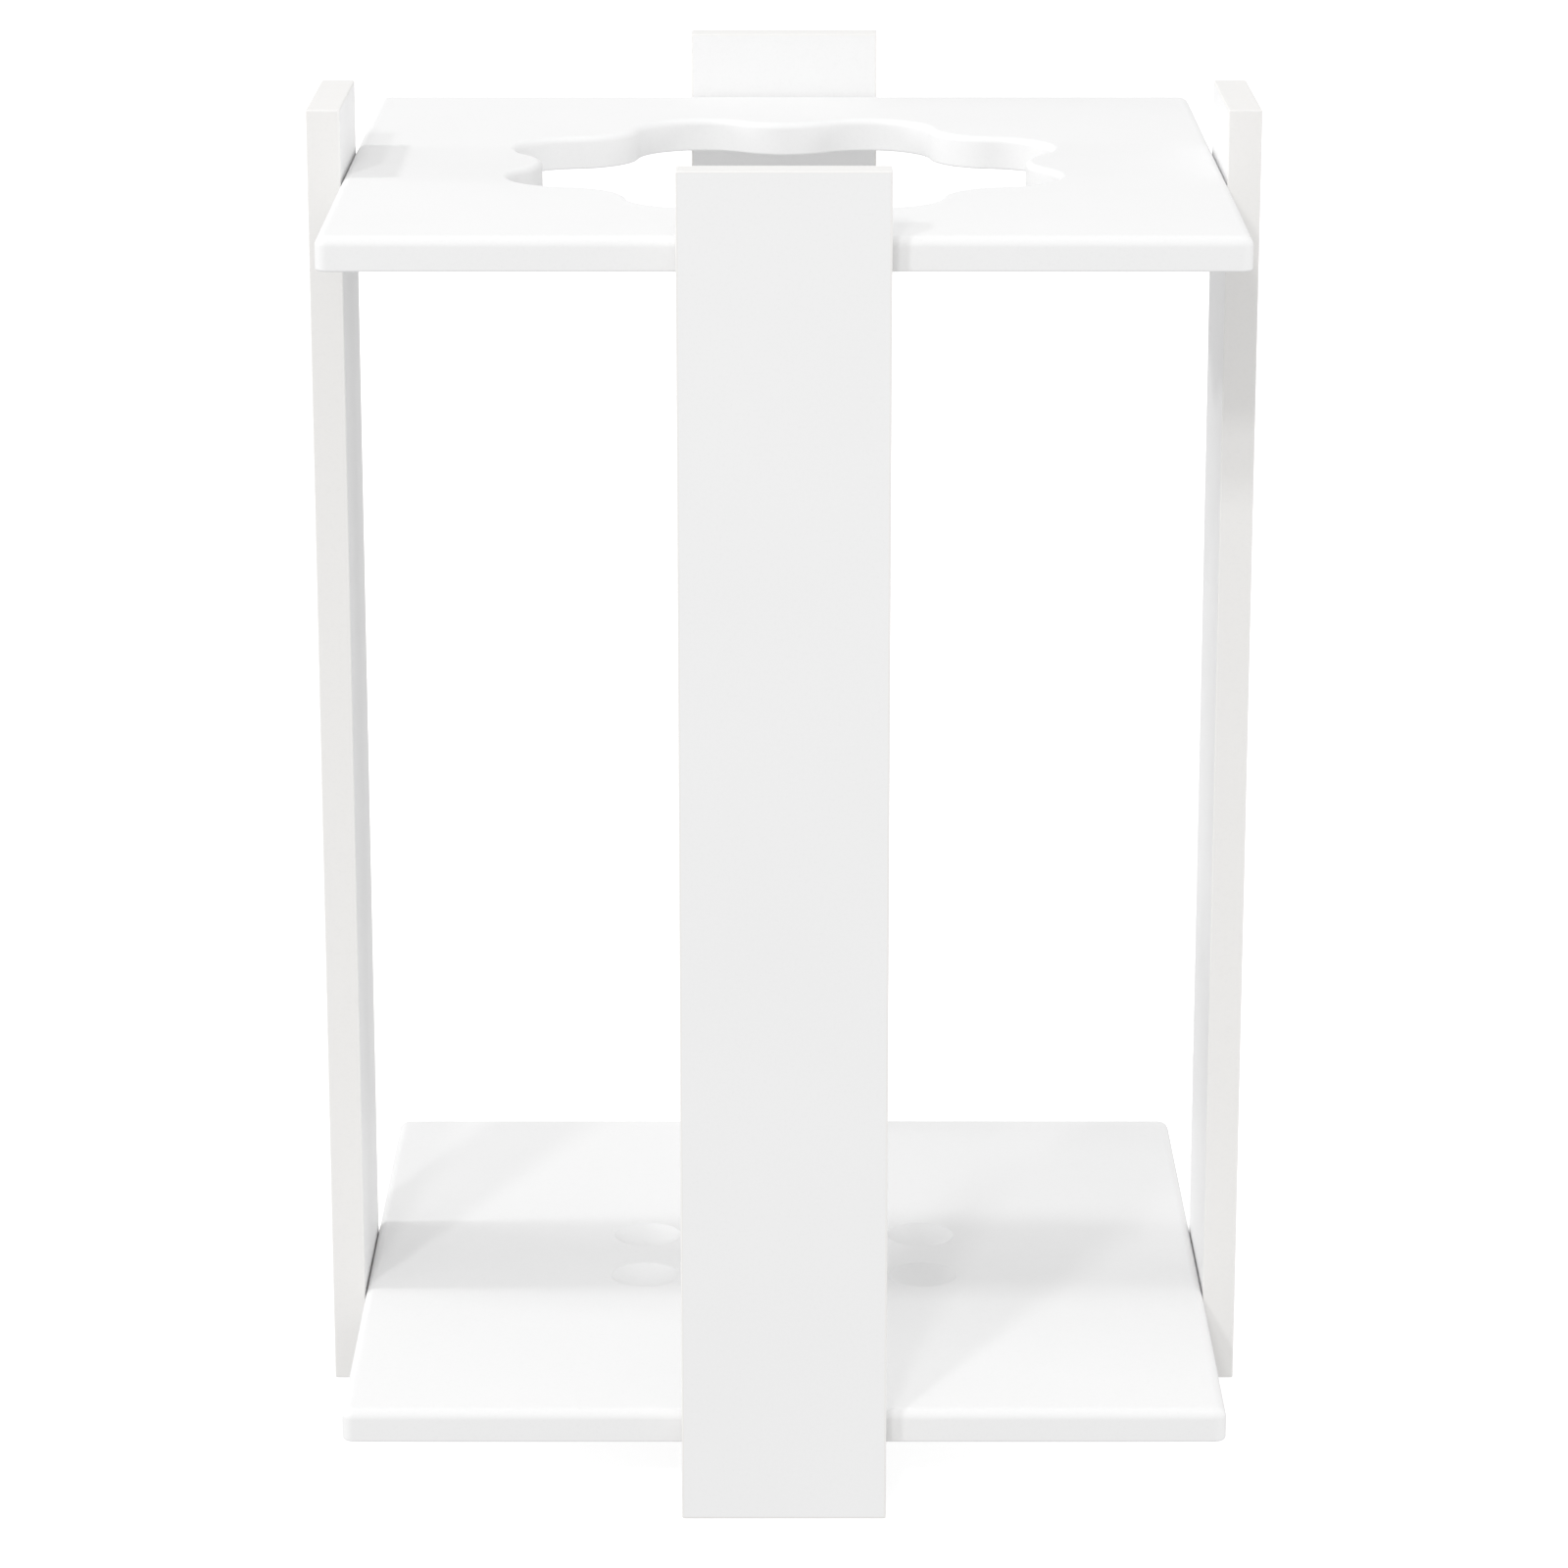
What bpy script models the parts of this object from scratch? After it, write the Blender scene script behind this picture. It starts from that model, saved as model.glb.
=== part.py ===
"""Umbrella stand in white engineered wood: two square plates held between four upright boards.

Everything is in metres. The stand rests on Z = 0 with its middle on the Z axis, and its front faces -Y.
The four sides are alike: each is built facing -Y under an empty, which then turns about Z.
"""

import math

import bmesh
import bpy
from mathutils import Matrix, Vector

# Driving dimensions of the stand
OVERALL_SIDE = 0.423
STAND_HEIGHT = 0.600
BOARD_WIDTH = 0.090
BOARD_THICKNESS = 0.015
PLATE_THICKNESS = 0.015
END_INSET = 0.030          # from each board end to the nearer plate's outer face
FIT_GAP = 0.0003           # between any two pieces that touch

# Plates
PLATE_HALF = OVERALL_SIDE / 2 - BOARD_THICKNESS - FIT_GAP
PLATE_CORNER_RADIUS = 0.0055
UPPER_ROUNDING = 0.0045    # quarter-round along the plates' upper edge
LOWER_CHAMFER = 0.001
HOLE_ROUNDING = 0.003      # quarter-round along the hole's upper edge
ROUNDING_STEPS = 3
CORNER_STEPS = 4
PLATE_UNDERSIDES = {"bottom": END_INSET, "top": STAND_HEIGHT - END_INSET - PLATE_THICKNESS}

# Flower-shaped hole: outward lobes joined by inward-bulging arcs
LOBES = 8
LOBE_RING_RADIUS = 0.100
LOBE_RADIUS = 0.030
HOLE_INNER_RADIUS = 0.109  # from the middle to the tips of the inward bulges
LOBE_STEPS = 8
BULGE_STEPS = 6

# Dishes for the umbrella tips, one below each lobe
DISH_RING_RADIUS = 0.071
DISH_RADIUS = 0.016
DISH_DEPTH = 0.005
DISH_STEPS = 4
DISH_SEGMENTS = 24

# Edge bands
BAND_THICKNESS = 0.001     # with the glue gap to the board's core
BAND_CHAMFER = 0.0004

# Joints between a plate and a board, each one a cam bolt between two dowels
JOINT_HEIGHT = 0.007       # of the bolt and the dowels above the plate's underside
BORE_SEGMENTS = 12
DOWEL_RADIUS = 0.003
DOWEL_LENGTH = 0.030
DOWEL_IN_BOARD = 0.010
DOWEL_SPACING = 0.060
DOWEL_END_CHAMFER = 0.0008
CAM_RADIUS = 0.0074
CAM_HEIGHT = 0.0118
CAM_SETBACK = 0.024        # from the plate's edge to the cam's axis
CAM_SEGMENTS = 24
CAM_DRIVE_LENGTH = 0.008
CAM_DRIVE_WIDTH = 0.0014
CAM_DRIVE_DEPTH = 0.0016
BOLT_HEAD_RADIUS = 0.0032
BOLT_HEAD_LENGTH = 0.0024
BOLT_NECK_RADIUS = 0.0018
BOLT_NECK_LENGTH = 0.0026
BOLT_SHANK_RADIUS = 0.0028
BOLT_CORE_RADIUS = 0.0021
BOLT_THREAD_RADIUS = 0.0030
BOLT_IN_BOARD = 0.0105
BOLT_THREAD_PITCH = 0.0030

CUTTER_REACH = 0.004       # how far a cutter stands out of the face that it opens
SMOOTH_ANGLE = math.radians(35)
SIDES = {"front": 0.0, "right": 90.0, "back": 180.0, "left": 270.0}


# Materials ---------------------------------------------------------------------------------------

def make_material(name, colour, roughness, metallic=0.0):
    material = bpy.data.materials.new(name)
    material.use_nodes = True
    shader = material.node_tree.nodes["Principled BSDF"]
    shader.inputs["Base Color"].default_value = (*colour, 1.0)
    shader.inputs["Roughness"].default_value = roughness
    shader.inputs["Metallic"].default_value = metallic
    return material


# Objects and meshes ------------------------------------------------------------------------------

def make_object(name, mesh, parent=None):
    """Links an object, or an empty if mesh is None, under its parent."""
    made = bpy.data.objects.new(name, mesh)
    bpy.context.scene.collection.objects.link(made)
    made.parent = parent
    return made


def finish_mesh(bm, name, material=None):
    """Turns a bmesh into a mesh with outward faces, smooth over its gentle edges."""
    bmesh.ops.recalc_face_normals(bm, faces=bm.faces)
    mesh = bpy.data.meshes.new(name)
    bm.to_mesh(mesh)
    bm.free()
    mesh.shade_smooth()
    mesh.set_sharp_from_angle(angle=SMOOTH_ANGLE)
    if material is not None:
        mesh.materials.append(material)
    return mesh


def add_ring(bm, outline, height):
    return [bm.verts.new((x, y, height)) for x, y in outline]


def edges_of(ring):
    found = []
    for first, second in zip(ring, ring[1:] + ring[:1]):
        found.append(next(e for e in first.link_edges if e.other_vert(first) is second))
    return found


def join_rings(bm, rings):
    """Walls between each ring of vertices and the next."""
    for lower, upper in zip(rings, rings[1:]):
        for i in range(len(lower)):
            j = (i + 1) % len(lower)
            bm.faces.new((lower[i], lower[j], upper[j], upper[i]))


def add_turned(bm, profile, segments, place=Matrix.Identity(4)):
    """A closed solid turned about Z from (radius, height) pairs, bottom to top. A radius of 0 is a tip."""
    rings = []
    for radius, height in profile:
        if radius == 0:
            rings.append([bm.verts.new(place @ Vector((0, 0, height)))])
            continue
        turn = [2 * math.pi * i / segments for i in range(segments)]
        corners = [Vector((radius * math.cos(a), radius * math.sin(a), height)) for a in turn]
        rings.append([bm.verts.new(place @ corner) for corner in corners])
    for lower, upper in zip(rings, rings[1:]):
        for i in range(segments):
            j = (i + 1) % segments
            if len(lower) == 1:
                bm.faces.new((lower[0], upper[j], upper[i]))
            elif len(upper) == 1:
                bm.faces.new((lower[i], lower[j], upper[0]))
            else:
                bm.faces.new((lower[i], lower[j], upper[j], upper[i]))
    if len(rings[0]) > 1:
        bm.faces.new(rings[0][::-1])
    if len(rings[-1]) > 1:
        bm.faces.new(rings[-1])


def add_box(bm, low, high):
    size = Vector(high) - Vector(low)
    middle = (Vector(high) + Vector(low)) / 2
    bmesh.ops.create_cube(bm, matrix=Matrix.Translation(middle) @ Matrix.Diagonal((*size, 1)))


def cut(target, bm, name):
    """Subtracts the shapes in bm, which mustn't overlap each other, from target."""
    cutter = make_object(name, finish_mesh(bm, name), target)
    cutter.hide_render = True
    cutter.display_type = "WIRE"
    boolean = target.modifiers.new(name, "BOOLEAN")
    boolean.operation = "DIFFERENCE"
    boolean.object = cutter


def along_y(y, x=0.0, z=0.0):
    """Lays a solid turned about Z down along +Y, its bottom at y."""
    return Matrix.Translation((x, y, z)) @ Matrix.Rotation(math.radians(-90), 4, "X")


def side_turns():
    return [Matrix.Rotation(math.radians(angle), 4, "Z") for angle in SIDES.values()]


# Outlines ----------------------------------------------------------------------------------------

def arc(centre, radius, start, end, steps):
    """Points along an arc, from start to end in radians, without the last one."""
    angles = [start + (end - start) * i / steps for i in range(steps)]
    return [(centre[0] + radius * math.cos(a), centre[1] + radius * math.sin(a)) for a in angles]


def plate_outline(inset=0.0):
    """The plate's square outline with round corners, moved inwards by inset."""
    reach = PLATE_HALF - PLATE_CORNER_RADIUS
    points = []
    for quarter in range(4):
        start = quarter * math.pi / 2
        signs = (1 if quarter in (0, 3) else -1, 1 if quarter in (0, 1) else -1)
        centre = (signs[0] * reach, signs[1] * reach)
        radius = PLATE_CORNER_RADIUS - inset
        points += arc(centre, radius, start, start + math.pi / 2, CORNER_STEPS)
        end = start + math.pi / 2
        points.append((centre[0] + radius * math.cos(end), centre[1] + radius * math.sin(end)))
    return points


def hole_outline(grow=0.0):
    """The flower: lobes and inward bulges are arcs that run smoothly into each other.

    Growing the hole widens the lobes and tightens the bulges about the same centres, so outlines of
    different sizes match point by point.
    """
    half_step = math.pi / LOBES
    chord = LOBE_RING_RADIUS * math.cos(half_step)
    gap = LOBE_RING_RADIUS**2 + HOLE_INNER_RADIUS**2 - 2 * HOLE_INNER_RADIUS * chord - LOBE_RADIUS**2
    bulge_radius = gap / (2 * (LOBE_RADIUS - HOLE_INNER_RADIUS + chord))
    bulge_ring = HOLE_INNER_RADIUS + bulge_radius
    to_bulge = Vector((bulge_ring * math.cos(half_step), bulge_ring * math.sin(half_step)))
    to_bulge -= Vector((LOBE_RING_RADIUS, 0))
    lobe_sweep = math.atan2(to_bulge.y, to_bulge.x)
    bulge_sweep = lobe_sweep - half_step
    points = []
    for lobe in range(LOBES):
        middle = (2 * lobe + 1) * half_step
        centre = (LOBE_RING_RADIUS * math.cos(middle), LOBE_RING_RADIUS * math.sin(middle))
        points += arc(centre, LOBE_RADIUS + grow, middle - lobe_sweep, middle + lobe_sweep, LOBE_STEPS)
        next_bulge = middle + half_step
        centre = (bulge_ring * math.cos(next_bulge), bulge_ring * math.sin(next_bulge))
        inward = next_bulge + math.pi
        points += arc(centre, bulge_radius - grow, inward + bulge_sweep, inward - bulge_sweep, BULGE_STEPS)
    return points


def edge_profile(rounding):
    """(inset, height) pairs up a plate's edge: a lower chamfer, a flat and an upper quarter-round."""
    pairs = [(LOWER_CHAMFER, 0.0), (0.0, LOWER_CHAMFER)]
    for step in range(ROUNDING_STEPS + 1):
        angle = math.pi / 2 * step / ROUNDING_STEPS
        inset = rounding * (1 - math.cos(angle))
        pairs.append((inset, PLATE_THICKNESS - rounding + rounding * math.sin(angle)))
    return pairs


# Plates ------------------------------------------------------------------------------------------

def plate_mesh(name, material, with_hole):
    """A plate standing on Z = 0, its walls joined ring by ring and its two faces filled."""
    bm = bmesh.new()
    borders = []
    outer = [add_ring(bm, plate_outline(inset), z) for inset, z in edge_profile(UPPER_ROUNDING)]
    join_rings(bm, outer)
    borders.append(outer)
    if with_hole:
        hole = [add_ring(bm, hole_outline(inset), z) for inset, z in edge_profile(HOLE_ROUNDING)]
        join_rings(bm, hole)
        borders.append(hole)
    for end in (0, -1):
        rim = [edge for rings in borders for edge in edges_of(rings[end])]
        bmesh.ops.triangle_fill(bm, use_beauty=True, edges=rim)
    return finish_mesh(bm, name, material)


def add_dishes(bm):
    """Cutters for the tip dishes: parts of a ball, straight above the plate's face."""
    ball_radius = (DISH_RADIUS**2 + DISH_DEPTH**2) / (2 * DISH_DEPTH)
    half_angle = math.asin(DISH_RADIUS / ball_radius)
    profile = []
    for step in range(DISH_STEPS + 1):
        angle = half_angle * step / DISH_STEPS
        depth = DISH_DEPTH - ball_radius * (1 - math.cos(angle))
        profile.append((ball_radius * math.sin(angle), PLATE_THICKNESS - depth))
    profile.append((DISH_RADIUS, PLATE_THICKNESS + CUTTER_REACH))
    for lobe in range(LOBES):
        turn = Matrix.Rotation((2 * lobe + 1) * math.pi / LOBES, 4, "Z")
        add_turned(bm, profile, DISH_SEGMENTS, turn @ Matrix.Translation((DISH_RING_RADIUS, 0, 0)))


def add_plate_bores(bm):
    """Cutters for the bolt and dowel bores in a plate's four edges."""
    outside = -PLATE_HALF - CUTTER_REACH
    dowel_end = DOWEL_LENGTH - DOWEL_IN_BOARD - PLATE_HALF
    dowel_bore = [(DOWEL_RADIUS + FIT_GAP, 0), (DOWEL_RADIUS + FIT_GAP, dowel_end - outside)]
    bolt_bore = [(BOLT_HEAD_RADIUS + FIT_GAP, 0), (BOLT_HEAD_RADIUS + FIT_GAP, CAM_SETBACK + CUTTER_REACH)]
    for turn in side_turns():
        add_turned(bm, bolt_bore, BORE_SEGMENTS, turn @ along_y(outside, 0, JOINT_HEIGHT))
        for x in (-DOWEL_SPACING / 2, DOWEL_SPACING / 2):
            add_turned(bm, dowel_bore, BORE_SEGMENTS, turn @ along_y(outside, x, JOINT_HEIGHT))


def add_cam_pockets(bm):
    """Cutters for the cams' round pockets in a plate's underside."""
    radius = CAM_RADIUS + FIT_GAP
    profile = [(radius, -CUTTER_REACH), (radius, CAM_HEIGHT + 2 * FIT_GAP)]
    for turn in side_turns():
        place = turn @ Matrix.Translation((0, CAM_SETBACK - PLATE_HALF, 0))
        add_turned(bm, profile, CAM_SEGMENTS, place)


def make_plate(level, material):
    name = f"{level}_plate"
    plate = make_object(name, plate_mesh(name, material, with_hole=level == "top"))
    plate.location.z = PLATE_UNDERSIDES[level]
    cutters = {"bores": add_plate_bores, "cam_pockets": add_cam_pockets}
    if level == "bottom":
        cutters["dishes"] = add_dishes
    for what, add in cutters.items():
        bm = bmesh.new()
        add(bm)
        cut(plate, bm, f"{name}_{what}_cutter")


# Boards ------------------------------------------------------------------------------------------

def board_mesh(name, material):
    """A board's core, its inner face in the plane Y = 0 and its outer face towards -Y."""
    bm = bmesh.new()
    half_width = BOARD_WIDTH / 2 - BAND_THICKNESS
    low = (-half_width, -BOARD_THICKNESS, BAND_THICKNESS)
    high = (half_width, 0, STAND_HEIGHT - BAND_THICKNESS)
    add_box(bm, low, high)
    return finish_mesh(bm, name, material)


def add_board_bores(bm):
    """Cutters for a board's bolt and dowel holes, at both plates."""
    bolt_hole = [
        (BOLT_THREAD_RADIUS + FIT_GAP, -BOLT_IN_BOARD - FIT_GAP),
        (BOLT_THREAD_RADIUS + FIT_GAP, CUTTER_REACH),
    ]
    dowel_hole = [
        (DOWEL_RADIUS + FIT_GAP, -DOWEL_IN_BOARD - FIT_GAP),
        (DOWEL_RADIUS + FIT_GAP, CUTTER_REACH),
    ]
    for underside in PLATE_UNDERSIDES.values():
        height = underside + JOINT_HEIGHT
        add_turned(bm, bolt_hole, BORE_SEGMENTS, along_y(0, 0, height))
        for x in (-DOWEL_SPACING / 2, DOWEL_SPACING / 2):
            add_turned(bm, dowel_hole, BORE_SEGMENTS, along_y(0, x, height))


def band_mesh(name, length, material):
    """An edge band along +Z, its glued side in the plane X = 0 and its chamfered outside at +X."""
    bm = bmesh.new()
    thick = BAND_THICKNESS - FIT_GAP
    half_width = BOARD_THICKNESS / 2
    section = [
        (0, -half_width),
        (thick - BAND_CHAMFER, -half_width),
        (thick, BAND_CHAMFER - half_width),
        (thick, half_width - BAND_CHAMFER),
        (thick - BAND_CHAMFER, half_width),
        (0, half_width),
    ]
    rings = [add_ring(bm, section, z) for z in (0, length)]
    join_rings(bm, rings)
    bm.faces.new(rings[0][::-1])
    bm.faces.new(rings[1])
    return finish_mesh(bm, name, material)


def make_bands(board, meshes):
    """The board's four bands: one across each end, and two down the long edges between them."""
    glued = BAND_THICKNESS - FIT_GAP
    half_width = BOARD_WIDTH / 2
    places = {
        "right": ("long_band", (half_width - glued, BAND_THICKNESS), "Z", 0),
        "left": ("long_band", (glued - half_width, BAND_THICKNESS), "Z", 180),
        "top": ("end_band", (half_width, STAND_HEIGHT - glued), "Y", -90),
        "bottom": ("end_band", (-half_width, glued), "Y", 90),
    }
    for where, (mesh, (x, z), axis, angle) in places.items():
        band = make_object(f"{board.name}_{where}_band", meshes[mesh], board)
        turn = Matrix.Rotation(math.radians(angle), 4, axis)
        band.matrix_local = Matrix.Translation((x, -BOARD_THICKNESS / 2, z)) @ turn


# Fasteners ---------------------------------------------------------------------------------------

def dowel_mesh(material):
    """A dowel along Z with chamfered ends, its lower end at 0."""
    bm = bmesh.new()
    tip = DOWEL_RADIUS - DOWEL_END_CHAMFER
    profile = [
        (tip, 0),
        (DOWEL_RADIUS, DOWEL_END_CHAMFER),
        (DOWEL_RADIUS, DOWEL_LENGTH - DOWEL_END_CHAMFER),
        (tip, DOWEL_LENGTH),
    ]
    add_turned(bm, profile, BORE_SEGMENTS)
    return finish_mesh(bm, "dowel", material)


def bolt_mesh(material):
    """A cam bolt along Z: pointed and ribbed below 0, in the board, and headed above, in the cam."""
    bm = bmesh.new()
    profile = [(0, -BOLT_IN_BOARD)]
    height = BOLT_THREAD_PITCH / 2 - BOLT_IN_BOARD
    while height < -BOLT_THREAD_PITCH:
        profile.append((BOLT_CORE_RADIUS, height))
        profile.append((BOLT_THREAD_RADIUS, height + BOLT_THREAD_PITCH / 2))
        height += BOLT_THREAD_PITCH
    profile.append((BOLT_CORE_RADIUS, height))
    profile.append((BOLT_CORE_RADIUS, -FIT_GAP))
    head_top = CAM_SETBACK + FIT_GAP + BOLT_HEAD_LENGTH / 2
    neck_bottom = head_top - BOLT_HEAD_LENGTH - BOLT_NECK_LENGTH
    profile.append((BOLT_SHANK_RADIUS, 0))
    profile.append((BOLT_SHANK_RADIUS, neck_bottom))
    profile.append((BOLT_NECK_RADIUS, neck_bottom))
    profile.append((BOLT_NECK_RADIUS, neck_bottom + BOLT_NECK_LENGTH))
    profile.append((BOLT_HEAD_RADIUS, neck_bottom + BOLT_NECK_LENGTH))
    profile.append((BOLT_HEAD_RADIUS, head_top))
    add_turned(bm, profile, BORE_SEGMENTS)
    return finish_mesh(bm, "cam_bolt", material)


def make_cam(name, material, parent):
    """A cam: a drum with a cross-shaped drive below, a mouth for the bolt and a wider hollow for its head."""
    bm = bmesh.new()
    add_turned(bm, [(CAM_RADIUS, FIT_GAP), (CAM_RADIUS, CAM_HEIGHT)], CAM_SEGMENTS)
    cam = make_object(name, finish_mesh(bm, name, material), parent)
    neck_room = BOLT_NECK_RADIUS + 2 * FIT_GAP
    head_room = BOLT_HEAD_RADIUS + 2 * FIT_GAP
    head_half = BOLT_HEAD_LENGTH / 2 + 2 * FIT_GAP
    neck_end = -BOLT_HEAD_LENGTH / 2 - BOLT_NECK_LENGTH
    shank_room = BOLT_SHANK_RADIUS + 2 * FIT_GAP
    bm = bmesh.new()
    add_box(bm, (-neck_room, neck_end, JOINT_HEIGHT - neck_room), (neck_room, 0, JOINT_HEIGHT + neck_room))
    cut(cam, bm, f"{name}_neck_slot_cutter")
    bm = bmesh.new()
    low = (-shank_room, -CAM_RADIUS - CUTTER_REACH, JOINT_HEIGHT - shank_room)
    add_box(bm, low, (shank_room, neck_end + 2 * FIT_GAP, JOINT_HEIGHT + shank_room))
    low = (-CAM_RADIUS - CUTTER_REACH, -head_half, JOINT_HEIGHT - head_room)
    add_box(bm, low, (head_room, head_half, JOINT_HEIGHT + head_room))
    cut(cam, bm, f"{name}_hollow_cutter")
    for what, turn in (("drive", 45), ("cross_drive", 135)):
        bm = bmesh.new()
        low = (-CAM_DRIVE_LENGTH / 2, -CAM_DRIVE_WIDTH / 2, -CUTTER_REACH)
        add_box(bm, low, (CAM_DRIVE_LENGTH / 2, CAM_DRIVE_WIDTH / 2, FIT_GAP + CAM_DRIVE_DEPTH))
        bmesh.ops.rotate(bm, verts=bm.verts, matrix=Matrix.Rotation(math.radians(turn), 3, "Z"))
        cut(cam, bm, f"{name}_{what}_cutter")
    return cam


# Assembly ----------------------------------------------------------------------------------------

def make_side(side, angle, materials, meshes):
    """One board with its bands, its bolts and dowels, and the two cams that hold it."""
    turn = make_object(f"{side}_side", None)
    turn.rotation_euler.z = math.radians(angle)
    inner_face = BOARD_THICKNESS - OVERALL_SIDE / 2

    name = f"{side}_board"
    board = make_object(name, board_mesh(name, materials["board"]), turn)
    board.location.y = inner_face
    bm = bmesh.new()
    add_board_bores(bm)
    cut(board, bm, f"{name}_bores_cutter")
    make_bands(board, meshes)

    for level, underside in PLATE_UNDERSIDES.items():
        cam = make_cam(f"{side}_{level}_cam", materials["cam"], turn)
        cam.location = (0, CAM_SETBACK - PLATE_HALF, underside)
        height = underside + JOINT_HEIGHT
        bolt = make_object(f"{side}_{level}_cam_bolt", meshes["bolt"], turn)
        bolt.matrix_local = along_y(inner_face, 0, height)
        for where, x in (("left", -DOWEL_SPACING / 2), ("right", DOWEL_SPACING / 2)):
            dowel = make_object(f"{side}_{level}_dowel_{where}", meshes["dowel"], turn)
            dowel.matrix_local = along_y(inner_face - DOWEL_IN_BOARD, x, height)


def main():
    for old in list(bpy.data.objects):
        bpy.data.objects.remove(old)
    materials = {
        "board": make_material("white_board", (0.84, 0.84, 0.84), 0.45),
        "plate": make_material("white_plate", (0.85, 0.85, 0.85), 0.40),
        "band": make_material("warm_white_band", (0.82, 0.81, 0.79), 0.40),
        "cam": make_material("zinc_cam", (0.60, 0.60, 0.61), 0.40, 1.0),
        "bolt": make_material("steel_bolt", (0.65, 0.64, 0.62), 0.35, 1.0),
        "dowel": make_material("beech_dowel", (0.62, 0.44, 0.27), 0.70),
    }
    meshes = {
        "long_band": band_mesh("long_band", STAND_HEIGHT - 2 * BAND_THICKNESS, materials["band"]),
        "end_band": band_mesh("end_band", BOARD_WIDTH, materials["band"]),
        "bolt": bolt_mesh(materials["bolt"]),
        "dowel": dowel_mesh(materials["dowel"]),
    }
    for level in PLATE_UNDERSIDES:
        make_plate(level, materials["plate"])
    for side, angle in SIDES.items():
        make_side(side, angle, materials, meshes)


main()
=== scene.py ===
import math

import bmesh
import bpy
from mathutils import Matrix, Vector


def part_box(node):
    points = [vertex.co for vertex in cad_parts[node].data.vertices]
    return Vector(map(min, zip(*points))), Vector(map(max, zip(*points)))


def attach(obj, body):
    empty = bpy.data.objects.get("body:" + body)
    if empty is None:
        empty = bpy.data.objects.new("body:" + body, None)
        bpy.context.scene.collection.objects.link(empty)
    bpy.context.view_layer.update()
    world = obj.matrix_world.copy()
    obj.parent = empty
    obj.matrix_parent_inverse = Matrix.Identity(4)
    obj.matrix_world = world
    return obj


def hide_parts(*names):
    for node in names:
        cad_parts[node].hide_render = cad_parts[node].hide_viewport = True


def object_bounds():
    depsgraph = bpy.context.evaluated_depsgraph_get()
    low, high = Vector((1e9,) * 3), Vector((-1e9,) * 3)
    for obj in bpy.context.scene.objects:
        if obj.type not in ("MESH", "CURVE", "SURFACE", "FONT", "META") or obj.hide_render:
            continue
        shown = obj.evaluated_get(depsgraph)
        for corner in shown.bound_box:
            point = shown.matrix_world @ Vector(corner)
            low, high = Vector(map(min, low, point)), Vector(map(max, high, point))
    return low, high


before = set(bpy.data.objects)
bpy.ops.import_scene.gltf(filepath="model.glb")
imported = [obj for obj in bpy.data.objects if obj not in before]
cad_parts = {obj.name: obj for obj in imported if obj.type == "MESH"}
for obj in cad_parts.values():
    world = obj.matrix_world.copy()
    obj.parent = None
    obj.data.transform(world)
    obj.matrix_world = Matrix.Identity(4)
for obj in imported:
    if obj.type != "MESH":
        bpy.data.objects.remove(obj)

# The finished look of the umbrella stand. Smooth plates and fine edge bands stand for their CAD
# nodes; the boards' cores, the cams, the bolts and the dowels are the CAD nodes themselves.
# Everything is in metres, in the CAD frame: the front faces -Y and the floor is Z = 0.

# Each side and its turn about Z from the front, in degrees
SIDES = {"front": 0.0, "right": 90.0, "back": 180.0, "left": 270.0}
LEVELS = ("bottom", "top")
CAD_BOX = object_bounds()      # before any piece is added

# Sizes that the CAD nodes' boxes give
PLATE_BOXES = {level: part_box(f"{level}_plate") for level in LEVELS}
PLATE_HALF = PLATE_BOXES["top"][1].x
PLATE_THICKNESS = PLATE_BOXES["top"][1].z - PLATE_BOXES["top"][0].z
END_BAND_LOW, END_BAND_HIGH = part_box("front_board_bottom_band")
CORE_LOW, CORE_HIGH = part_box("front_board")
STAND_HEIGHT = CAD_BOX[1].z

# Plates
PLATE_CORNER_RADIUS = 0.0055
UPPER_ROUNDING = 0.0045
LOWER_ROUNDING = 0.0010
HOLE_ROUNDING = 0.0030
ROUNDING_STEPS = 10
LOWER_STEPS = 4
CORNER_STEPS = 14

# Flower-shaped hole
LOBES = 8
LOBE_RING_RADIUS = 0.100
LOBE_RADIUS = 0.030
HOLE_INNER_RADIUS = 0.109
LOBE_STEPS = 40
BULGE_STEPS = 30

# Dishes
DISH_RING_RADIUS = 0.071
DISH_RADIUS = 0.016
DISH_DEPTH = 0.005
DISH_LIP = 0.0004          # rounding where a dish meets the plate's face
DISH_STEPS = 14
DISH_LIP_STEPS = 4
DISH_SEGMENTS = 72

# Edge bands
BAND_ROUNDING = 0.0007
BAND_ROUNDING_STEPS = 4
ROUND_PROFILE = 0.5        # makes a bevel a quarter of a circle

# Bores and pockets, a little wider than what sits in them
POCKET_ROOM = 0.0003
BORE_SEGMENTS = 32
POCKET_SEGMENTS = 64
CUTTER_REACH = 0.004
WELD_DISTANCE = 0.000005     # joins the corners that a cut leaves almost on top of each other

SMOOTH_ANGLE = math.radians(35)
LARGE_FACES_LEAD = 100     # the weight of the Weighted Normal modifier: large faces stay flat


# Meshes ------------------------------------------------------------------------------------------

def add_ring(bm, outline, height):
    """Vertices along an outline of (x, y) pairs at one height."""
    return [bm.verts.new((x, y, height)) for x, y in outline]


def join_rings(bm, rings):
    """Walls between each ring of vertices and the next."""
    for lower, upper in zip(rings, rings[1:]):
        for i in range(len(lower)):
            j = (i + 1) % len(lower)
            bm.faces.new((lower[i], lower[j], upper[j], upper[i]))


def edges_of(ring):
    """The edges that run round a closed ring of vertices."""
    found = []
    for first, second in zip(ring, ring[1:] + ring[:1]):
        found.append(next(e for e in first.link_edges if e.other_vert(first) is second))
    return found


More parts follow.
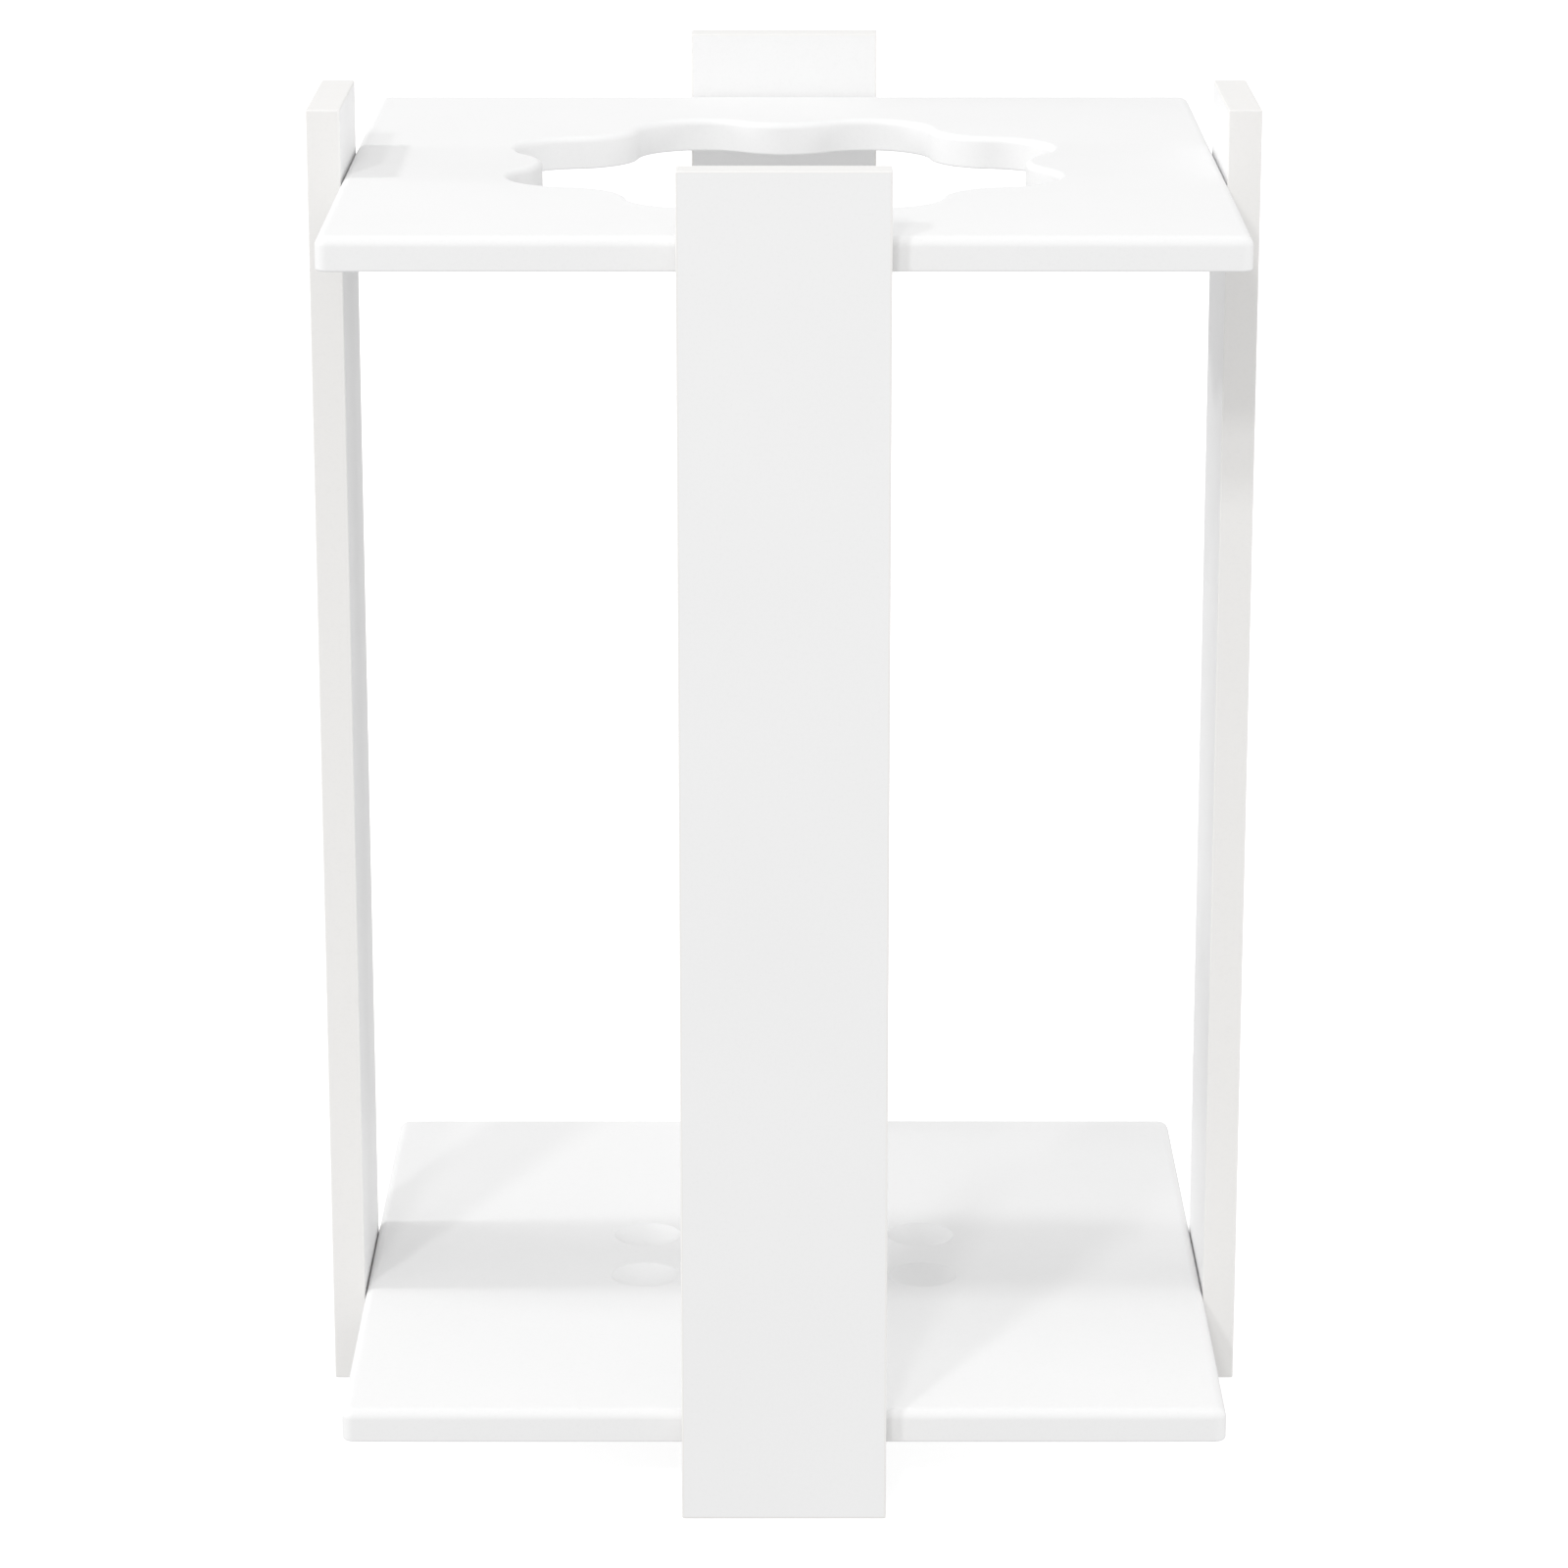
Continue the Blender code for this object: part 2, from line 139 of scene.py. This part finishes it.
def add_turned(bm, profile, segments, place):
    """A closed solid turned about Z from (radius, height) pairs, bottom to top. It may start at a tip."""
    turn = [2 * math.pi * i / segments for i in range(segments)]
    rings = []
    for radius, height in profile:
        if radius == 0:
            corners = [Vector((0, 0, height))]
        else:
            corners = [Vector((radius * math.cos(a), radius * math.sin(a), height)) for a in turn]
        rings.append([bm.verts.new(place @ corner) for corner in corners])
    for lower, upper in zip(rings, rings[1:]):
        for i in range(segments):
            j = (i + 1) % segments
            if len(lower) == 1:
                bm.faces.new((lower[0], upper[j], upper[i]))
            else:
                bm.faces.new((lower[i], lower[j], upper[j], upper[i]))
    if len(rings[0]) > 1:
        bm.faces.new(rings[0][::-1])
    bm.faces.new(rings[-1])


def to_mesh(bm, name):
    """The mesh that bm holds, with its faces pointing out. It frees bm."""
    bmesh.ops.recalc_face_normals(bm, faces=bm.faces)
    mesh = bpy.data.meshes.new(name)
    bm.to_mesh(mesh)
    bm.free()
    return mesh


def place_object(name, data):
    """A new object in the scene with a mesh, a light or a camera as its data."""
    made = bpy.data.objects.new(name, data)
    bpy.context.scene.collection.objects.link(made)
    return made


def carve(name, mesh, cutters):
    """The mesh with every cutter, a bmesh, taken out of it and doubled corners welded."""
    body = place_object(name, mesh)
    tools = []
    for bm in cutters:
        tool = place_object("cutter", to_mesh(bm, "cutter"))
        boolean = body.modifiers.new("cut", "BOOLEAN")
        boolean.operation = "DIFFERENCE"
        boolean.object = tool
        tools.append(tool)
    bpy.context.view_layer.update()
    cut_body = body.evaluated_get(bpy.context.evaluated_depsgraph_get())
    bm = bmesh.new()
    bm.from_mesh(cut_body.data)
    bmesh.ops.remove_doubles(bm, verts=bm.verts, dist=WELD_DISTANCE)
    carved = to_mesh(bm, name)
    for used in (body, *tools):
        bpy.data.objects.remove(used)
    return carved


def finish_piece(name, mesh, material, nodes):
    """A shown piece: smooth over its roundings, flat where it is flat, and standing for its CAD nodes."""
    mesh.materials.clear()
    mesh.materials.append(material)
    mesh.shade_smooth()
    mesh.set_sharp_from_angle(angle=SMOOTH_ANGLE)
    piece = place_object(name, mesh)
    normals = piece.modifiers.new("flat_faces", "WEIGHTED_NORMAL")
    normals.keep_sharp = True
    normals.weight = LARGE_FACES_LEAD
    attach(piece, "root")
    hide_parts(*nodes)


def side_turns():
    """Turns about Z that take the front to each side."""
    return [Matrix.Rotation(math.radians(angle), 4, "Z") for angle in SIDES.values()]


# Outlines ----------------------------------------------------------------------------------------

def arc(centre, radius, start, end, steps):
    """Points along an arc, from start to end in radians, without the last one."""
    angles = [start + (end - start) * i / steps for i in range(steps)]
    return [(centre[0] + radius * math.cos(a), centre[1] + radius * math.sin(a)) for a in angles]


def plate_outline(inset):
    """The plate's square outline with round corners, moved inwards by inset."""
    reach = PLATE_HALF - PLATE_CORNER_RADIUS
    radius = PLATE_CORNER_RADIUS - inset
    points = []
    for quarter in range(4):
        start = quarter * math.pi / 2
        end = start + math.pi / 2
        centre = (
            reach if quarter in (0, 3) else -reach,
            reach if quarter in (0, 1) else -reach,
        )
        points += arc(centre, radius, start, end, CORNER_STEPS)
        points.append((centre[0] + radius * math.cos(end), centre[1] + radius * math.sin(end)))
    return points


def hole_outline(grow):
    """The flower: lobes and inward bulges are arcs that run smoothly into each other."""
    half_step = math.pi / LOBES
    chord = LOBE_RING_RADIUS * math.cos(half_step)
    gap = LOBE_RING_RADIUS**2 + HOLE_INNER_RADIUS**2 - 2 * HOLE_INNER_RADIUS * chord - LOBE_RADIUS**2
    bulge_radius = gap / (2 * (LOBE_RADIUS - HOLE_INNER_RADIUS + chord))
    bulge_ring = HOLE_INNER_RADIUS + bulge_radius
    to_bulge = Vector((bulge_ring * math.cos(half_step), bulge_ring * math.sin(half_step)))
    to_bulge -= Vector((LOBE_RING_RADIUS, 0))
    lobe_sweep = math.atan2(to_bulge.y, to_bulge.x)
    bulge_sweep = lobe_sweep - half_step
    points = []
    for lobe in range(LOBES):
        middle = (2 * lobe + 1) * half_step
        centre = (LOBE_RING_RADIUS * math.cos(middle), LOBE_RING_RADIUS * math.sin(middle))
        points += arc(centre, LOBE_RADIUS + grow, middle - lobe_sweep, middle + lobe_sweep, LOBE_STEPS)
        next_bulge = middle + half_step
        centre = (bulge_ring * math.cos(next_bulge), bulge_ring * math.sin(next_bulge))
        inward = next_bulge + math.pi
        points += arc(centre, bulge_radius - grow, inward + bulge_sweep, inward - bulge_sweep, BULGE_STEPS)
    return points


def edge_profile(rounding):
    """(inset, height) pairs up a plate's edge: a small lower rounding, a flat, a large upper one."""
    pairs = []
    for step in range(LOWER_STEPS + 1):
        angle = math.pi / 2 * step / LOWER_STEPS
        pairs.append((LOWER_ROUNDING * (1 - math.sin(angle)), LOWER_ROUNDING * (1 - math.cos(angle))))
    for step in range(ROUNDING_STEPS + 1):
        angle = math.pi / 2 * step / ROUNDING_STEPS
        inset = rounding * (1 - math.cos(angle))
        pairs.append((inset, PLATE_THICKNESS - rounding + rounding * math.sin(angle)))
    return pairs


# Plates ------------------------------------------------------------------------------------------

def plate_blank(with_hole):
    """A plate with its underside at Z = 0, its walls joined ring by ring and its two faces filled."""
    bm = bmesh.new()
    borders = [[add_ring(bm, plate_outline(inset), z) for inset, z in edge_profile(UPPER_ROUNDING)]]
    if with_hole:
        borders.append([add_ring(bm, hole_outline(inset), z) for inset, z in edge_profile(HOLE_ROUNDING)])
    for rings in borders:
        join_rings(bm, rings)
    for end in (0, -1):
        rim = [edge for rings in borders for edge in edges_of(rings[end])]
        bmesh.ops.triangle_fill(bm, use_beauty=True, edges=rim)
    return to_mesh(bm, "plate_blank")


def dish_cutters():
    """Parts of a ball below the plate's face, each with a small flare at its rim."""
    ball_radius = (DISH_RADIUS**2 + DISH_DEPTH**2) / (2 * DISH_DEPTH)
    half_angle = math.asin(DISH_RADIUS / ball_radius)
    profile = []
    for step in range(DISH_STEPS):
        angle = half_angle * step / DISH_STEPS
        profile.append((ball_radius * math.sin(angle), -DISH_DEPTH + ball_radius * (1 - math.cos(angle))))
    for step in range(DISH_LIP_STEPS + 1):
        slope = half_angle * (1 - step / DISH_LIP_STEPS)
        profile.append((DISH_RADIUS - DISH_LIP * math.sin(slope), DISH_LIP * (math.cos(slope) - 1)))
    profile.append((DISH_RADIUS, CUTTER_REACH))
    bm = bmesh.new()
    to_ring = Matrix.Translation((DISH_RING_RADIUS, 0, PLATE_THICKNESS))
    for lobe in range(LOBES):
        turn = Matrix.Rotation((2 * lobe + 1) * math.pi / LOBES, 4, "Z")
        add_turned(bm, profile, DISH_SEGMENTS, turn @ to_ring)
    return bm


def node_bore(node, underside, along):
    """(radius, centre, length) of the bore that a CAD node sits in, from the node's box."""
    low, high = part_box(node)
    size = high - low
    middle = (high + low) / 2 - Vector((0, 0, underside))
    radius = (size.z if along == "Y" else size.x) / 2 + POCKET_ROOM
    return radius, middle, size.y if along == "Y" else size.z


def pocket_cutters(underside, level):
    """The cams' round pockets, open below, one to a side."""
    bm = bmesh.new()
    radius, middle, height = node_bore(f"front_{level}_cam", underside, "Z")
    profile = [(radius, -CUTTER_REACH), (radius, middle.z + height / 2 + POCKET_ROOM)]
    for turn in side_turns():
        add_turned(bm, profile, POCKET_SEGMENTS, turn @ Matrix.Translation((middle.x, middle.y, 0)))
    return bm


def bore_cutters(underside, level):
    """The bolt and dowel bores in the plate's four edges."""
    bm = bmesh.new()
    for fastener in ("cam_bolt", "dowel_left", "dowel_right"):
        node = f"front_{level}_{fastener}"
        radius, middle, length = node_bore(node, underside, "Y")
        depth = middle.y + length / 2 + PLATE_HALF
        profile = [(radius, 0), (radius, depth + CUTTER_REACH)]
        start = Matrix.Translation((middle.x, -PLATE_HALF - CUTTER_REACH, middle.z))
        lie = start @ Matrix.Rotation(-math.pi / 2, 4, "X")
        for turn in side_turns():
            add_turned(bm, profile, BORE_SEGMENTS, turn @ lie)
    return bm


def make_plate(level, material):
    """A plate with its rounded edges, its bores and pockets and, at the bottom, its dishes."""
    underside = PLATE_BOXES[level][0].z
    cutters = [pocket_cutters(underside, level), bore_cutters(underside, level)]
    if level == "bottom":
        cutters.append(dish_cutters())
    mesh = carve(f"{level}_plate_body", plate_blank(with_hole=level == "top"), cutters)
    mesh.transform(Matrix.Translation((0, 0, underside)))
    finish_piece(f"{level}_plate_body", mesh, material, [f"{level}_plate"])


# Edge bands --------------------------------------------------------------------------------------

def rounded_board():
    """The whole front board as one solid with small roundings along all its edges."""
    low = Vector((END_BAND_LOW.x, END_BAND_LOW.y, 0))
    high = Vector((END_BAND_HIGH.x, END_BAND_HIGH.y, STAND_HEIGHT))
    bm = bmesh.new()
    middle = Matrix.Translation((low + high) / 2)
    bmesh.ops.create_cube(bm, matrix=middle @ Matrix.Diagonal((*(high - low), 1)))
    bmesh.ops.bevel(
        bm, geom=bm.edges[:], offset=BAND_ROUNDING, segments=BAND_ROUNDING_STEPS,
        profile=ROUND_PROFILE, affect="EDGES", clamp_overlap=True,
    )
    return bm


def keep_beyond(bm, point, normal):
    """Cuts bm at a plane, keeps the part on the normal's side, and closes the cut."""
    geometry = bm.verts[:] + bm.edges[:] + bm.faces[:]
    cut = bmesh.ops.bisect_plane(bm, geom=geometry, plane_co=point, plane_no=normal, clear_inner=True)
    rim = [item for item in cut["geom_cut"] if isinstance(item, bmesh.types.BMEdge)]
    bmesh.ops.contextual_create(bm, geom=rim)


def band_meshes():
    """The front board's four bands, each reaching in to the board's core."""
    above_end = (CORE_LOW, (0, 0, 1))
    below_end = (CORE_HIGH, (0, 0, -1))
    cuts = {
        "left": [(CORE_LOW, (-1, 0, 0)), above_end, below_end],
        "right": [(CORE_HIGH, (1, 0, 0)), above_end, below_end],
        "bottom": [(CORE_LOW, (0, 0, -1))],
        "top": [(CORE_HIGH, (0, 0, 1))],
    }
    meshes = {}
    for where, planes in cuts.items():
        bm = rounded_board()
        for point, normal in planes:
            keep_beyond(bm, point, normal)
        meshes[where] = to_mesh(bm, f"{where}_band")
    return meshes


def make_bands(material):
    """The four bands of each board: the front board's ones, turned to each side."""
    meshes = band_meshes()
    for side, angle in SIDES.items():
        for where, mesh in meshes.items():
            turned = mesh.copy()
            turned.transform(Matrix.Rotation(math.radians(angle), 4, "Z"))
            node = f"{side}_board_{where}_band"
            finish_piece(f"{side}_board_{where}_edging", turned, material, [node])


# Materials ---------------------------------------------------------------------------------------

WHITE = (1.0, 1.0, 1.0, 1.0)

# Nearly all values of a noise texture lie between these two
NOISE_LOW = 0.3
NOISE_HIGH = 0.7


def map_range(nodes, links, value, low, high, to_low, to_high):
    """Carries value from low..high over to to_low..to_high. A limit is a number or another socket."""
    spread = nodes.new("ShaderNodeMapRange")
    limits = {"From Min": low, "From Max": high, "To Min": to_low, "To Max": to_high}
    for socket, limit in limits.items():
        if isinstance(limit, float):
            spread.inputs[socket].default_value = limit
        else:
            links.new(limit, spread.inputs[socket])
    links.new(value, spread.inputs["Value"])
    return spread.outputs["Result"]


class Recipe:
    """A node material: the Principled shader and the texture nodes that feed it."""

    def __init__(self, name, roughness, metallic=0.0):
        self.material = bpy.data.materials.new(name)
        self.material.use_nodes = True
        self.nodes = self.material.node_tree.nodes
        self.links = self.material.node_tree.links
        self.shader = self.nodes["Principled BSDF"]
        self.shader.inputs["Roughness"].default_value = roughness
        self.shader.inputs["Metallic"].default_value = metallic
        self.place = self.nodes.new("ShaderNodeTexCoord").outputs["Object"]

    def noise(self, scale, detail=2.0, stretch=(1.0, 1.0, 1.0)):
        """Noise with `scale` blotches a metre, drawn out along an axis by a stretch below 1."""
        mapping = self.nodes.new("ShaderNodeMapping")
        mapping.inputs["Scale"].default_value = stretch
        self.links.new(self.place, mapping.inputs["Vector"])
        noise = self.nodes.new("ShaderNodeTexNoise")
        noise.inputs["Scale"].default_value = scale
        noise.inputs["Detail"].default_value = detail
        self.links.new(mapping.outputs["Vector"], noise.inputs["Vector"])
        return noise.outputs["Fac"]

    def colours(self, fac, tones, high=NOISE_HIGH):
        """Blends the tones, two or more, evenly along a noise value from NOISE_LOW to high."""
        ramp = self.nodes.new("ShaderNodeValToRGB")
        elements = ramp.color_ramp.elements
        while len(elements) < len(tones):
            elements.new(NOISE_HIGH)
        for i, (element, tone) in enumerate(zip(elements, tones)):
            element.position = NOISE_LOW + (high - NOISE_LOW) * i / (len(tones) - 1)
            element.color = (*tone, 1.0)
        self.links.new(fac, ramp.inputs["Fac"])
        return ramp.outputs["Color"]

    def multiply(self, first, second, share):
        """The first colour, darkened by a share of the second."""
        mix = self.nodes.new("ShaderNodeMix")
        mix.data_type = "RGBA"
        mix.blend_type = "MULTIPLY"
        mix.inputs["Factor"].default_value = share
        self.links.new(first, mix.inputs["A"])
        self.links.new(second, mix.inputs["B"])
        return mix.outputs["Result"]

    def paint(self, colour):
        self.links.new(colour, self.shader.inputs["Base Color"])

    def gloss(self, fac, low, high):
        """Roughness from low to high along a noise value."""
        spread = map_range(self.nodes, self.links, fac, NOISE_LOW, NOISE_HIGH, low, high)
        self.links.new(spread, self.shader.inputs["Roughness"])

    def relief(self, fac, depth, strength):
        """A bump of the given depth in metres."""
        bump = self.nodes.new("ShaderNodeBump")
        bump.inputs["Distance"].default_value = depth
        bump.inputs["Strength"].default_value = strength
        self.links.new(fac, bump.inputs["Height"])
        self.links.new(bump.outputs["Normal"], self.shader.inputs["Normal"])


def tint(colour, factor):
    return tuple(channel * factor for channel in colour)


def white_coat(name, colour, gloss, ripple, shine):
    """White lacquer or melamine: barely clouded, with an even fine ripple."""
    coat = Recipe(name, roughness=sum(gloss) / 2)
    coat.shader.inputs["Specular IOR Level"].default_value = shine
    clouds = coat.colours(coat.noise(scale=9.0, detail=3.0), (tint(colour, 0.992), tint(colour, 1.004)))
    specks = coat.colours(coat.noise(scale=700.0), (SPECK_GREY, PLAIN_WHITE), high=SPECK_LIMIT)
    coat.paint(coat.multiply(clouds, specks, share=0.5))
    coat.gloss(coat.noise(scale=60.0, detail=4.0), *gloss)
    coat.relief(coat.noise(scale=ripple), depth=0.00003, strength=0.25)
    return coat.material


def cast_zinc():
    zinc = Recipe("zinc_cam", roughness=0.42, metallic=1.0)
    zinc.paint(zinc.colours(zinc.noise(scale=500.0, detail=4.0), ZINC_TONES))
    zinc.gloss(zinc.noise(scale=900.0, detail=3.0), 0.34, 0.52)
    zinc.relief(zinc.noise(scale=1500.0, detail=3.0), depth=0.00006, strength=0.4)
    return zinc.material


def turned_steel():
    steel = Recipe("steel_bolt", roughness=0.33, metallic=1.0)
    steel.paint(steel.colours(steel.noise(scale=400.0, detail=3.0), STEEL_TONES))
    steel.gloss(steel.noise(scale=1200.0, detail=3.0, stretch=(1.0, 1.0, 0.1)), 0.25, 0.42)
    steel.relief(steel.noise(scale=2500.0, stretch=(1.0, 1.0, 0.05)), depth=0.00003, strength=0.3)
    return steel.material


def beech():
    wood = Recipe("beech_dowel", roughness=0.7)
    grain = wood.noise(scale=120.0, detail=5.0, stretch=(0.15, 0.15, 8.0))
    wood.paint(wood.colours(grain, BEECH_TONES))
    wood.gloss(grain, 0.62, 0.8)
    fibres = wood.noise(scale=300.0, detail=3.0, stretch=(0.1, 0.1, 6.0))
    wood.relief(fibres, depth=0.0001, strength=0.5)
    return wood.material


BOARD_WHITE = (0.872, 0.872, 0.872)
PLATE_WHITE = (0.858, 0.858, 0.858)
BAND_WHITE = (0.845, 0.836, 0.822)
PLAIN_WHITE = (1.0, 1.0, 1.0)
SPECK_GREY = (0.975, 0.975, 0.975)
SPECK_LIMIT = 0.48         # the noise value above which there are no specks
ZINC_TONES = ((0.46, 0.46, 0.47), (0.64, 0.64, 0.65))
STEEL_TONES = ((0.55, 0.54, 0.51), (0.68, 0.67, 0.64))
BEECH_TONES = ((0.50, 0.33, 0.19), (0.62, 0.44, 0.27), (0.69, 0.51, 0.33))

board_white = white_coat("white_board", BOARD_WHITE, gloss=(0.42, 0.52), ripple=900.0, shine=0.5)
plate_white = white_coat("white_plate", PLATE_WHITE, gloss=(0.52, 0.62), ripple=650.0, shine=0.28)
band_white = white_coat("warm_white_band", BAND_WHITE, gloss=(0.38, 0.50), ripple=900.0, shine=0.5)
fastener_looks = {"cam": cast_zinc(), "cam_bolt": turned_steel(), "dowel_left": beech()}
fastener_looks["dowel_right"] = fastener_looks["dowel_left"]


def dress(node, material):
    """Gives a shown CAD node its material."""
    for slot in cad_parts[node].material_slots:
        slot.material = material


for level in LEVELS:
    make_plate(level, plate_white)
make_bands(band_white)
for side in SIDES:
    dress(f"{side}_board", board_white)
    for level in LEVELS:
        for fastener, look in fastener_looks.items():
            dress(f"{side}_{level}_{fastener}", look)


# Floor and backdrop ------------------------------------------------------------------------------

STAGE_RADIUS = 12.0
STAGE_SEGMENTS = 96
STAGE_RINGS = 24
STAGE_TONES = ((0.90, 0.90, 0.90), (0.92, 0.92, 0.92))
STAGE_GLOW = 0.45          # keeps the floor and the backdrop an even white
FLOOR_SINK = 0.0002        # below the feet, so that the two faces don't share a plane


def make_stage(name, bm):
    """Part of the plain white surroundings. It shows, but it neither lights nor shades the stand."""
    stage = place_object(name, to_mesh(bm, name))
    stage.location.z = -FLOOR_SINK
    look = Recipe(name, roughness=0.9)
    look.paint(look.colours(look.noise(scale=0.8), STAGE_TONES))
    look.shader.inputs["Emission Color"].default_value = WHITE
    look.shader.inputs["Emission Strength"].default_value = STAGE_GLOW
    stage.data.materials.append(look.material)
    stage.visible_diffuse = False
    stage.visible_glossy = False
    stage.visible_transmission = False
    stage.visible_shadow = False


floor_bm = bmesh.new()
bmesh.ops.create_circle(floor_bm, cap_ends=True, segments=STAGE_SEGMENTS, radius=STAGE_RADIUS)
make_stage("floor", floor_bm)

dome_bm = bmesh.new()
bmesh.ops.create_uvsphere(dome_bm, u_segments=STAGE_SEGMENTS, v_segments=STAGE_RINGS, radius=STAGE_RADIUS)
below_floor = [vert for vert in dome_bm.verts if vert.co.z < -FLOOR_SINK]
bmesh.ops.delete(dome_bm, geom=below_floor, context="VERTS")
make_stage("backdrop", dome_bm)


# Camera ------------------------------------------------------------------------------------------

CAMERA_PLACE = Vector((0.0, -2.4568, 0.9686))
CAMERA_PITCH = math.radians(15.70)
CAMERA_LENS = 125.86
CAMERA_SENSOR = 36.0

camera = place_object("camera", bpy.data.cameras.new("camera"))
camera.location = CAMERA_PLACE
camera.rotation_euler = (math.pi / 2 - CAMERA_PITCH, 0.0, 0.0)
camera.data.lens = CAMERA_LENS
camera.data.sensor_width = CAMERA_SENSOR
camera.data.clip_end = 2 * STAGE_RADIUS
bpy.context.scene.camera = camera


# Light -------------------------------------------------------------------------------------------

STAND_MIDDLE = Vector((0.0, 0.0, 0.30))
SOFT_BOX_DISTANCE = 6.0

# Azimuth in degrees from the front round to the right, elevation, side in metres, and watts
SOFT_BOXES = {
    "left_low": (-100, 12, 1.4, 65.8),
    "left_high": (-90, 50, 0.4, 50.9),
    "front_left": (-25, 38, 0.4, 48.1),
    "front": (-10, 33, 0.4, 41.8),
    "right_low": (90, 8, 1.4, 67.9),
}

# Strengths of the room's even light, from above and from below
SKY = 0.82
GROUND_FRONT = 0.785
GROUND_BACK = 0.54
HORIZON_BLEND = 0.03


def add_soft_box(name, azimuth, elevation, side, watts):
    """A square area light that faces the middle of the stand."""
    lamp = bpy.data.lights.new(name, "AREA")
    lamp.shape = "SQUARE"
    lamp.size = side
    lamp.energy = watts
    soft_box = place_object(name, lamp)
    soft_box.visible_camera = False
    across, up = math.radians(azimuth), math.radians(elevation)
    outward = Vector((math.sin(across) * math.cos(up), -math.cos(across) * math.cos(up), math.sin(up)))
    soft_box.location = STAND_MIDDLE + outward * SOFT_BOX_DISTANCE
    soft_box.rotation_euler = outward.to_track_quat("Z", "Y").to_euler()


def make_room_light():
    """An even white room: a sky above, and below it a ground that is brighter at the front."""
    world = bpy.data.worlds.new("soft_room")
    world.use_nodes = True
    nodes = world.node_tree.nodes
    links = world.node_tree.links
    axes = nodes.new("ShaderNodeSeparateXYZ")
    links.new(nodes.new("ShaderNodeTexCoord").outputs["Generated"], axes.inputs["Vector"])
    ground = map_range(nodes, links, axes.outputs["Y"], -1.0, 1.0, GROUND_FRONT, GROUND_BACK)
    strength = map_range(nodes, links, axes.outputs["Z"], -HORIZON_BLEND, HORIZON_BLEND, ground, SKY)
    background = nodes["Background"]
    background.inputs["Color"].default_value = WHITE
    links.new(strength, background.inputs["Strength"])
    bpy.context.scene.world = world


for soft_box_name, settings in SOFT_BOXES.items():
    add_soft_box(soft_box_name, *settings)
make_room_light()
bpy.context.scene.view_settings.view_transform = "Standard"
